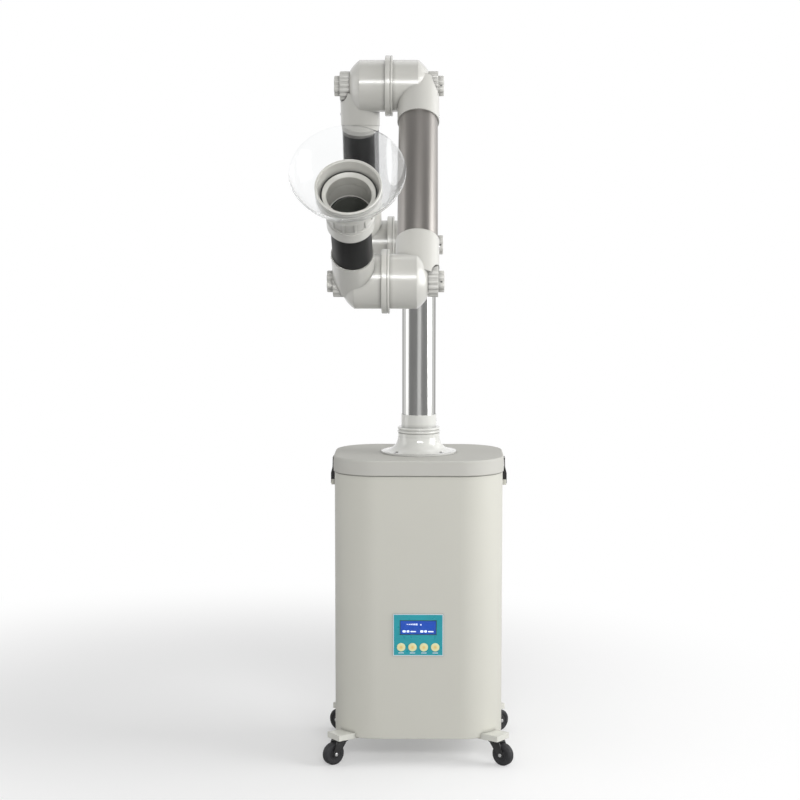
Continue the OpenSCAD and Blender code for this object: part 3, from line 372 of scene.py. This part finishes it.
def add_stack(bm, ring, levels, turn=Matrix.Identity(4)):
    """Closed body from an outline of (x, y) in mm, repeated at levels of (height, inset)."""
    n = len(ring)
    pts = [Vector(p) for p in ring]
    area = sum(pts[i - 1].x * pts[i].y - pts[i].x * pts[i - 1].y for i in range(n))
    flip = 1 if area > 0 else -1
    normals = []
    for i in range(n):
        d = (pts[(i + 1) % n] - pts[i - 1]).normalized()
        normals.append(Vector((-d.y, d.x)) * flip)
    rows = []
    for z, inset in levels:
        rows.append([bm.verts.new(turn @ Vector(((p + q * inset).x * MM, (p + q * inset).y * MM, z * MM)))
                     for p, q in zip(pts, normals)])
    for a, b in zip(rows, rows[1:]):
        for i in range(n):
            j = (i + 1) % n
            bm.faces.new((a[i], a[j], b[j], b[i]))
    bm.faces.new(rows[0])
    bm.faces.new(rows[-1])


def soft_levels(z0, z1, r, steps=4):
    """Heights and insets of a body whose two rims are rounded by r."""
    arc = [(r * (1 - math.cos(t)), r * (1 - math.sin(t)))
           for t in (math.pi / 2 * k / steps for k in range(steps + 1))]
    return [(z0 + h, inset) for h, inset in arc] + [(z1 - h, inset) for h, inset in reversed(arc)]


def polar(count, radius):
    """An outline of count points, whose distance from the middle is a function of the angle."""
    turns = [TAU * k / count for k in range(count)]
    return [(radius(a) * math.cos(a), radius(a) * math.sin(a)) for a in turns]


def rect(w, d, r, steps):
    """A rectangle round the origin, with corners of radius r."""
    return rounded([(-w / 2, -d / 2), (w / 2, -d / 2), (w / 2, d / 2), (-w / 2, d / 2)], r, steps)


def place(p, *turns):
    """A matrix at p, in mm, after turns of (angle, axis) applied from last to first."""
    m = Matrix.Translation(Vector(p) * MM)
    for angle, axis in turns:
        m = m @ Matrix.Rotation(angle, 4, axis)
    return m


def put(obj, body, slot, *replaced):
    """Hands a piece to its body, in place of the nodes named; slot is not used."""
    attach(obj, body)
    if replaced:
        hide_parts(*replaced)


RIGHT, LEFT, TO_FRONT = (math.pi / 2, "Y"), (-math.pi / 2, "Y"), (math.pi / 2, "X")
JOINTS = (("shoulder", SHOULDER, "arm_a"), ("upper", UPPER, "arm_b"), ("wrist", WRIST, "arm_c"))
AXIS_A = place((LEFT_X, SHOULDER.y, SHOULDER.z), (LEAN_A, "X"))
AXIS_B = place((0, UPPER.y, UPPER.z), (math.pi - LEAN_B, "X"))
AXIS_C = place((LEFT_X, WRIST.y, WRIST.z), (LEAN_C, "X"))


# Tubes along their own axes, so that the drawn grain follows them, and the third tube's liner
def from_sleeve(axis):
    return axis @ Matrix.Translation((0, 0, TUBE_START * MM))


C_LEN = NUT_START + TUBE_IN_NUT - TUBE_START
for arm, radius, length, material, axis in (("a", BLACK_R, A_LEN - 2 * TUBE_START, black_tube, AXIS_A),
                                            ("b", METAL_R, B_LEN - 2 * TUBE_START, bronze_tube, AXIS_B),
                                            ("c", BLACK_R, C_LEN, black_tube, AXIS_C)):
    ends = [(radius - TUBE_T, 0), (radius, 0), (radius, length), (radius - TUBE_T, length)]
    put(lathe("tube_" + arm, rounded(ends, 0.6, 3), material, from_sleeve(axis), 128), "arm_" + arm,
        "bronze_tube" if arm == "b" else "black_tube", "arm_tube_" + arm)
liner = [(36.5, 1), (36.97, 1), (36.97, C_LEN - 0.6), (36.5, C_LEN - 0.6)]
put(lathe("tube_c_bore", liner, bare_tube, from_sleeve(AXIS_C)), "arm_c", "black_tube")


# Knobs: a ribbed grip wheel and a six-lobed star with a sunk disc; the right ones have a set screw
LOBES, RIB_DEEP, LOBE_DEEP = 6, 2.4, 4.4


def wave(count, a):
    """From 1 at a rib's crest to 0 in the dip."""
    return 0.5 + 0.5 * math.cos(count * a)


def knob_wheel(a):
    return KNOB_R - RIB_DEEP * (1 - wave(RIBS, a)) ** 1.6


def knob_star(a):
    return STAR_R - LOBE_DEEP * (1 - wave(LOBES, a)) ** 1.3


def knob(joint, side, body, at):
    bm = bmesh.new()
    base = HUB_X + KNOB_GAP
    top = base + KNOB_LEN
    face = top + STAR_LEN
    add_stack(bm, polar(RIBS * 14, knob_wheel), soft_levels(base, top, 1.4))
    add_stack(bm, polar(LOBES * 24, knob_star), soft_levels(top - 1.5, face, 1.8))
    add_lathe(bm, rounded([(0, face - 0.5), (11, face - 0.5), (11, face + 0.25), (8.6, face + 0.25),
                           (8, face - 0.2), (0, face - 0.2)], [0, 0, 0.25, 0.2, 0.2, 0], 3), 48)
    node = f"{joint}_knob_{side}"
    obj = finish_mesh("piece_" + node, bm, knob_plastic, place(at, RIGHT if side == "right" else LEFT))
    put(obj, body, "grey_plastic", node)
    if side == "right":
        dot = [(0, -1), (2.1, -1), (2.1, 0.25), (1.5, 0.35), (0, 0.1)]
        spot = (at.x + top + STAR_LEN / 2, at.y - STAR_R + LOBE_DEEP, at.z)
        put(lathe(f"{joint}_set_screw", rounded(dot, [0, 0, 0.1, 0.1, 0], 2), black_plastic,
                  place(spot, TO_FRONT), 24), body, "screw_steel")


for joint, at, _ in JOINTS:
    for side in ("right", "left"):
        knob(joint, side, f"{joint}_knob_{side}", at)

# Clamp rings with a fine seam round their middle
ring_outline = rounded([(54.8, -8), (63, -8), (64, -7), (64, 2.4), (63, 2.7), (63, 3.5), (64, 3.8),
                        (64, 7), (63, 8), (54.8, 8), (54.8, 4.5), (60.3, 4.5), (60.3, -4.5), (54.8, -4.5)],
                       [0, 0.9, 0.9, 0.4, 0.2, 0.2, 0.4, 0.9, 0.9, 0, 0, 0, 0, 0], 3)
for joint, at, body in JOINTS:
    put(lathe(f"piece_{joint}_ring", ring_outline, plastic, place(at, RIGHT), 144), body, "grey_plastic",
        f"{joint}_clamp_ring")

# Union nut: a bead, a neck and a flare with sunk grip pockets
NECK_R, FLARE_R, FLARE_ARC, FLARE_Z = 44.5, 60, 40, 45.4
BEAD_OUT, BEAD_TOP = 1.2, 26
POCKETS, POCKET_LOW, POCKET_TOP, POCKET_HALF = 12, 31, 77, 9.3
NUT_STEPS = 480


def nut_surface(z):
    """Outer radius of the nut at height z past its start."""
    if z < BEAD_TOP + 1:
        return NECK_R + BEAD_OUT - max(z - BEAD_TOP, 0) * BEAD_OUT
    if z < FLARE_Z:
        return NECK_R
    rise = min(z - FLARE_Z, FLARE_ARC)
    return min(NECK_R + FLARE_ARC - math.sqrt(FLARE_ARC ** 2 - rise ** 2), FLARE_R)


def pocket_floor(z):
    """Radius that a grip pocket is sunk to: it follows the room inside."""
    return 42.7 + min(max((z - 54) / 12, 0), 1) * 5.3


def pocket_depth(a, r, z):
    """How far the surface of radius r is sunk at angle a and height z."""
    half_pitch = math.pi / POCKETS
    across = r * abs(math.sin((a + half_pitch) % (2 * half_pitch) - half_pitch))
    side = min(max((POCKET_HALF - across) / 0.6, 0), 1)
    ends = min((z - POCKET_LOW) / 1.5, (POCKET_TOP - z) / 0.8, 1)
    return max(r - pocket_floor(z), 0) * side * ends


def union_nut():
    outside = [(0, NECK_R + 0.4), (0.3, NECK_R + 0.9), (1, NECK_R + BEAD_OUT)]
    outside += [(k * 0.75, nut_surface(k * 0.75)) for k in range(2, 117)] + [(NUT_LEN - 0.4, 59.8), (NUT_LEN, 59.2)]
    inside = [(NUT_LEN, 46.3), (66, 46.3), (66, 41.95), (56, 41), (34, 41), (34, 39.1), (0.6, 39.1), (0, 39.6)]
    turns = [TAU * k / NUT_STEPS for k in range(NUT_STEPS)]
    bm = bmesh.new()
    rows = []
    for n, (z, r) in enumerate(outside + inside):
        sunk = n < len(outside) and POCKET_LOW < z < POCKET_TOP
        reach = [r - pocket_depth(a, r, z) if sunk else r for a in turns]
        rows.append([bm.verts.new((q * MM * math.cos(a), q * MM * math.sin(a), (NUT_START + z) * MM))
                     for a, q in zip(turns, reach)])
    skin(bm, rows)
    return finish_mesh("piece_union_nut", bm, plastic, AXIS_C, 50)


put(union_nut(), "union_nut", "grey_plastic", "union_nut")

# Nozzle: the cup with its grooved rim, the inner pipe, and a dark ring between them that paints the groove's shade
FOOT = CUP_START + 2
cup = rounded([(46.2, CUP_START), (CUP_R, CUP_START), (CUP_R, CUP_END - 6.6), (60.6, CUP_END - 6.4),
               (60.6, CUP_END - 5), (CUP_R, CUP_END - 4.8), (CUP_R, CUP_END), (60.6, CUP_END),
               (60.2, CUP_END - 1.1), (58, CUP_END - 1.1), (54.6, FOOT), (51.9, FOOT), (51.9, FOOT - 1),
               (50.5, FOOT - 1), (50.5, RIM_END), (48.8, RIM_END), (42, RIM_END - 4.5), (42, RIM_END - 28),
               (46.2, RIM_END - 28)],
              [0, 1.2, 0.4, 0.2, 0.2, 0.4, 1, 0.4, 0.2, 1, 1.5, 0.2, 0, 0, 0.5, 0.6, 2, 0, 0.8], 4)
put(lathe("piece_nozzle", cup, plastic, AXIS_C, 144), "hood", "grey_plastic", "nozzle")
# Painted shade: a dark rubber ring fills the groove between the cup wall and the inner pipe
groove_shade_outline = [(50.7, FOOT - 0.6), (53.2, FOOT - 0.6), (53.2, RIM_END - 0.5), (50.7, RIM_END - 0.5)]
put(lathe("nozzle_groove_shade", rounded(groove_shade_outline, 0.3, 3), rubber, AXIS_C, 144), "hood", "gasket_rubber")


# Hood: a thin spherical bowl with a rounded lip, seated on the cup
def bowl(radius):
    """The bowl's side from the cup to the lip, as (radius, height)."""
    first, last, steps = math.acos(CUP_R / BALL_R), math.asin((BALL_R - HOOD_DEEP) / BALL_R), 40
    turns = [first + (last - first) * k / steps for k in range(steps + 1)]
    return [(max(radius * math.cos(a), CUP_R + 0.1), HOOD_POLE + BALL_R - radius * math.sin(a)) for a in turns]


lip = [(HOOD_R - HOOD_T / 2 + HOOD_T / 2 * math.cos(t), HOOD_POLE + HOOD_DEEP - 0.2 + HOOD_T / 2 * math.sin(t) * 0.8)
       for t in (math.pi * k / 6 for k in range(1, 6))]
put(lathe("piece_hood", bowl(BALL_R) + lip + bowl(BALL_R - HOOD_T)[::-1], hood_clear, AXIS_C, 192), "hood",
    "hood_clear", "clear_hood")


# Casters: pressed forks with a ball race, axle caps, and treaded wheels
LEG_T, LEG_GAP, CAP_OUT = 2.5, 0.7, 12.2


def caster(i):
    x, y = KING[i]
    at = place((x, y, 0), (math.atan2(y, x), "Z"))
    axle = at @ Matrix.Translation((TRAIL * MM, 0, WHEEL_R * MM))
    body = f"caster_{i + 1}"
    bm = bmesh.new()
    race = rounded([(0, CROWN_TOP - 4), (18.6, CROWN_TOP - 4), (19, CROWN_TOP - 3), (19, CROWN_TOP - 1.2),
                    (17, CROWN_TOP - 0.2), (6, CROWN_TOP), (0, CROWN_TOP)], [0, 0.4, 0.4, 0.6, 0.6, 0, 0], 3)
    add_lathe(bm, race, 64)
    leg = rounded([(-13, CROWN_TOP - 2), (15, CROWN_TOP - 2), (TRAIL + 8.4, WHEEL_R + 3),
                   (TRAIL + 7.6, WHEEL_R - 3.6), (TRAIL + 3, WHEEL_R - 7.6), (TRAIL - 3, WHEEL_R - 7.6),
                   (TRAIL - 7.6, WHEEL_R - 3)], [1, 1, 4, 4, 4, 4, 5], 4)
    for side in (-1, 1):
        middle = side * (WHEEL_W / 2 + LEG_GAP + LEG_T / 2)
        turn = Matrix.Translation((0, middle * MM, 0)) @ Matrix.Rotation(math.pi / 2, 4, "X")
        add_stack(bm, leg, soft_levels(-LEG_T / 2, LEG_T / 2, 0.5, 2), turn)
    put(finish_mesh(f"piece_fork_{i + 1}", bm, black_plastic, at), body, "black_plastic", f"caster_fork_{i + 1}")
    cap = rounded([(0, 0), (4, 0), (4, 1.4), (3, 2), (0, 2)], [0, 0, 0.5, 0.4, 0], 3)
    for side, letter in ((-1, "a"), (1, "b")):
        cap_at = axle @ Matrix.Translation((0, side * CAP_OUT * MM, 0)) \
            @ Matrix.Rotation(-side * math.pi / 2, 4, "X")
        put(lathe(f"piece_axle_{i + 1}_{letter}", cap, steel, cap_at, 32), body, "screw_steel")
    tread = rounded([(3.05, -8.5), (8, -8.5), (9, -7.2), (14.5, -7.2), (16, -9), (21, -9), (25, -5.6), (25, 5.6),
                     (21, 9), (16, 9), (14.5, 7.2), (9, 7.2), (8, 8.5), (3.05, 8.5)],
                    [0, 0.5, 0.6, 0.8, 1, 2.4, 2.6, 2.6, 2.4, 1, 0.8, 0.6, 0.5, 0], 3)
    wheel_at = axle @ Matrix.Rotation(math.pi / 2, 4, "X")
    put(lathe(f"piece_wheel_{i + 1}", tread, tyre, wheel_at), f"wheel_{i + 1}", "tyre_rubber",
        f"caster_wheel_{i + 1}")


for i in range(4):
    caster(i)


# Panel: a pale border line, a framed window with marks, and domed keys with dashes under them
def marks(name, boxes, material, z, high, behind=0.0):
    """Thin bars of (middle x, middle z, width, height) on the panel, high mm thick."""
    bm = bmesh.new()
    for cx, cz, w, h in boxes:
        ring = [(cx + u, cz + v) for u, v in rect(w, h, min(w, h) * 0.3, 3)]
        add_stack(bm, ring, [(-0.1, 0), (high - 0.08, 0), (high, 0.08)])
    put(finish_mesh(name, bm, material, place((0, FACE_Y + behind, z), TO_FRONT)), "cabinet", "panel_film")


def frame_bars(w, h, inset, wide, long_x, long_z):
    """Four bars round a field of w by h, whose middles lie inset from its edges."""
    return [(0, h / 2 - inset, long_x, wide), (0, -h / 2 + inset, long_x, wide),
            (-w / 2 + inset, 0, wide, long_z), (w / 2 - inset, 0, wide, long_z)]


# The window shows a row of level bars and two read-outs, which say nothing
READOUTS = [(-31, -8.6, 7, 5), (-22.5, -8.6, 6, 5), (-11, -9, 12, 2.6),
            (8, -8.6, 7, 5), (16.5, -8.6, 6, 5), (28, -9, 12, 2.6)]
bars = [(-24 + 4.2 * k, 7.2, 2.6, 1.6 + 0.55 * k) for k in range(6)] + [(6, 6.4, 3, 3)]
marks("screen_marks", bars + READOUTS, screen_lit, SCREEN_Z, 0.12, behind=0.3)
marks("panel_border", frame_bars(PANEL_W, PANEL_H, 0.7, 1.4, PANEL_W - 0.6, PANEL_H - 0.6), print_white,
      PANEL_Z, 0.16)
marks("key_marks", [(x, -12.8, 12, 1.5) for x in KEY_X], print_white, KEY_Z, 0.12)
marks("window_edge", frame_bars(SCREEN_W, SCREEN_H, -0.9, 1.3, SCREEN_W + 3.4, SCREEN_H + 3.4), dark_plastic,
      SCREEN_Z, 0.3)
dome = [(0, -5), (KEY_R, -5), (KEY_R, 0.2), (KEY_R - 0.25, 0.75), (KEY_R - 0.9, 1.05), (KEY_R - 3, 1.17), (0, 1.2)]
for i, x in enumerate(KEY_X):
    put(lathe(f"piece_key_{i + 1}", dome, key_film, place((x, FACE_Y, KEY_Z), TO_FRONT), 64), f"key_{i + 1}",
        "key_yellow", f"button_{i + 1}")


# Small screws with a sunk middle, seated in the elbows' sleeves and in the swivel collar
def screw(name, at, body, turn, r=3.0, proud=1.2):
    """A head of radius r that stands proud of at; its own +Z is turned outwards."""
    head = rounded([(0, -1.5), (r, -1.5), (r, proud * 0.4), (r * 0.75, proud), (0.9, proud), (0.6, proud - 0.7),
                    (0, proud - 0.7)], [0, 0, 0.4, 0.3, 0, 0, 0], 3)
    put(lathe(name, head, steel, place(at, turn), 32), body, "screw_steel")


def along(origin, lean, x, q):
    """A point q mm along a tube that leaves origin at lean."""
    return Vector((x, origin.y - q * math.sin(lean), origin.z + q * math.cos(lean)))


SLEEVE_B, SLEEVE_LEFT = METAL_R + SLEEVE, LEFT_X - (BLACK_R + SLEEVE)
for name, origin, lean, x, q, body in (("upper_right", UPPER, math.pi - LEAN_B, SLEEVE_B, 84, "arm_b"),
                                       ("wrist_right", WRIST, -LEAN_B, SLEEVE_B, 84, "arm_b"),
                                       ("shoulder_left", SHOULDER, LEAN_A, SLEEVE_LEFT, 84, "arm_a"),
                                       ("wrist_left", WRIST, LEAN_C, SLEEVE_LEFT, 84, "arm_c"),
                                       ("upper_left", UPPER, math.pi + LEAN_A, SLEEVE_LEFT, 66, "arm_a")):
    screw("screw_" + name, along(origin, lean, x, q), body, RIGHT if x > 0 else LEFT)
screw("screw_column", (40.4, 0, 1072), "column", RIGHT)
screw("screw_collar", (39.9, 0, 760), "column", RIGHT, 2.4, 1.0)

# Rolled hem along the shell's lower edge
HEM_W, HEM_H, HEM_IN, HEM_SIDES = 0.9, 1.0, 0.7, 8
bm = bmesh.new()
path = rect(CAB_W, CAB_D, CAB_R, 24)
rows = []
for i, p in enumerate(path):
    d = (path[(i + 1) % len(path)] - path[i - 1]).normalized()
    row = []
    for k in range(HEM_SIDES):
        q = p + Vector((d.y, -d.x)) * (HEM_W * math.cos(TAU * k / HEM_SIDES) - HEM_IN)
        row.append(bm.verts.new((q.x * MM, q.y * MM, (CAB_Z + HEM_H + HEM_H * math.sin(TAU * k / HEM_SIDES)) * MM)))
    rows.append(row)
skin(bm, rows)
put(finish_mesh("shell_hem", bm, body_paint), "cabinet", "body_paint")


# Stage: pale floor that fades to the white background
FADE_MIDDLE, FADE_FROM, FADE_TO = (-0.4, 0.3, 0), 0.45, 1.6


def stage_material():
    """The camera, glass and glossy surfaces see the floor fade to white; light still falls on a darker floor."""
    s = Shader("stage_floor", 0.6, spec=0.2).colour(srgb(249, 249, 249), 0.004, 1.5).finish(3, 0.03)
    path = s.node("ShaderNodeLightPath")
    s.put(s.bsdf.inputs["Base Color"], s.mix(path.outputs["Is Camera Ray"], srgb(190, 190, 190), s.tone))
    heading = s.node("ShaderNodeSeparateXYZ", Vector=s.coord).outputs["Y"]
    shiny = s.combine("MULTIPLY", path.outputs["Is Glossy Ray"], s.spread(heading, 0, 1, -1.2, 0.3))
    seen = s.combine("MAXIMUM", path.outputs["Is Camera Ray"], path.outputs["Is Transmission Ray"])
    far = s.node("ShaderNodeVectorMath", Vector=s.coord)
    far.operation = "DISTANCE"
    far.inputs[1].default_value = FADE_MIDDLE
    fade = s.spread(far.outputs["Value"], 0.26, 1, FADE_FROM, FADE_TO)
    fade.node.interpolation_type = "SMOOTHSTEP"
    white = s.node("ShaderNodeEmission", Strength=1.0)
    return s.show(s.combine("MULTIPLY", s.combine("MAXIMUM", seen, shiny), fade), white).mat


bm = bmesh.new()
bmesh.ops.create_grid(bm, x_segments=24, y_segments=24, size=14)
floor = finish_mesh("stage_floor", bm, stage_material())

# World: white to the camera, and to glossy rays that head for the backdrop; a dim room to all others
world = bpy.data.worlds.new("studio")
bpy.context.scene.world = world
world.use_nodes = True
wt = world.node_tree
ROOM_LEVEL, BACKDROP_WAY = 0.35, (0, 1, -0.6)
background = wt.nodes["Background"]
background.inputs["Color"].default_value = (1, 1, 1, 1)
ray = wt.nodes.new("ShaderNodeLightPath")
heading = wt.nodes.new("ShaderNodeVectorMath")
heading.operation = "DOT_PRODUCT"
wt.links.new(wt.nodes.new("ShaderNodeTexCoord").outputs["Generated"], heading.inputs[0])
heading.inputs[1].default_value = BACKDROP_WAY
behind = wt.nodes.new("ShaderNodeMapRange")
behind.interpolation_type = "SMOOTHSTEP"
for k, v in zip((1, 2, 3, 4), (-0.55, 0.1, 0.0, 1.0)):
    behind.inputs[k].default_value = v
wt.links.new(heading.outputs["Value"], behind.inputs["Value"])


def both(kind, first, second):
    """A maths node of two inputs in the world's tree."""
    joined = wt.nodes.new("ShaderNodeMath")
    joined.operation = kind
    wt.links.new(first, joined.inputs[0])
    wt.links.new(second, joined.inputs[1])
    return joined.outputs[0]


shiny = both("MULTIPLY", ray.outputs["Is Glossy Ray"], behind.outputs[0])
seen = both("MAXIMUM", ray.outputs["Is Camera Ray"], ray.outputs["Is Transmission Ray"])
level = wt.nodes.new("ShaderNodeMapRange")
level.inputs["To Min"].default_value = ROOM_LEVEL
wt.links.new(both("MAXIMUM", seen, shiny), level.inputs["Value"])
wt.links.new(level.outputs[0], background.inputs["Strength"])


def softbox(name, at, aim, width, height, power):
    """A rectangular lamp at a place, turned to its aim."""
    data = bpy.data.lights.new(name, "AREA")
    data.shape = "RECTANGLE"
    data.size, data.size_y = width, height
    data.energy = power
    obj = bpy.data.objects.new(name, data)
    obj.location = at
    obj.rotation_euler = (Vector(aim) - Vector(at)).to_track_quat("-Z", "Y").to_euler()
    bpy.context.collection.objects.link(obj)


# Softboxes: name, place, aim, width and height in m, power in W
softbox("key", (2.85, -0.5, 1.6), (0, -0.1, 0.9), 1.9, 2.2, 64)
softbox("left", (-2.7, -0.2, 1.5), (0, -0.2, 1.0), 1.2, 2.4, 11)
softbox("top", (0.3, 1.0, 3.5), (0, 0, 0.8), 2.0, 1.6, 6)
softbox("rim", (2.3, 1.4, 2.4), (0, -0.2, 1.1), 1.3, 1.8, 5)
softbox("front", (0.5, -4.4, 2.6), (0, 0, 1.1), 2.2, 0.9, 96)
softbox("low", (0.2, -5.3, 0.7), (0, 0, 0.9), 2.2, 2.0, 7)
